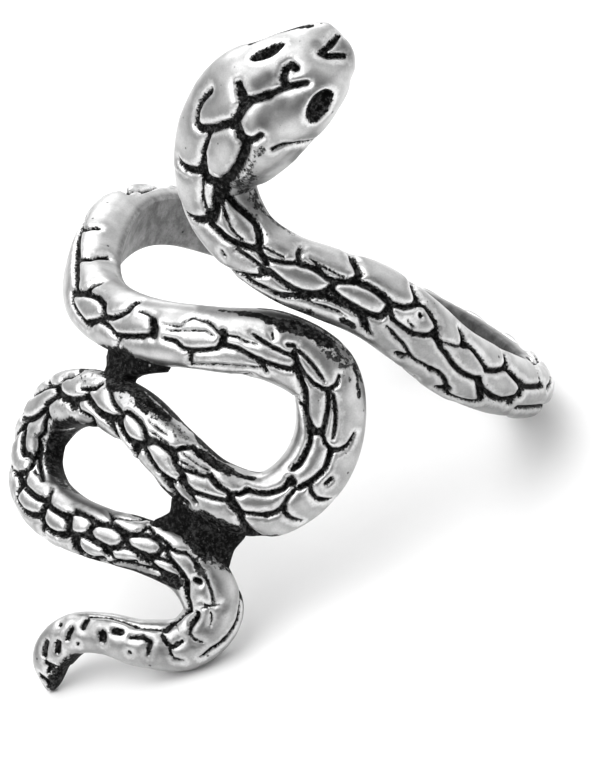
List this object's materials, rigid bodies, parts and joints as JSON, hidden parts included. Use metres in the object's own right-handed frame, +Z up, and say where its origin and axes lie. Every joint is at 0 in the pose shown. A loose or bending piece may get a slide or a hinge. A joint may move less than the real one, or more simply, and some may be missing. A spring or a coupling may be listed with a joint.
{
  "type": "snake wrap finger ring",
  "caption": "Cast finger ring shaped as a snake: one turn round the finger, a winding scaled body in front, head above and tail below.",
  "frame": {"origin": "on the surface that the ring rests on, under the middle of the ring's box", "axes": "+Z up; -Y towards the viewer, who sees the snake's winding front; the finger axis leans back from upright towards +X"},
  "size_m": [0.0254, 0.023, 0.0241],
  "materials": {
    "antiqued_silver": "cast silver, polished on the high places, with black oxide in the grooves, eyes and webs"
  },
  "bodies": {
    "root": {"snake_ring": "antiqued_silver"}
  },
  "joints": []
}
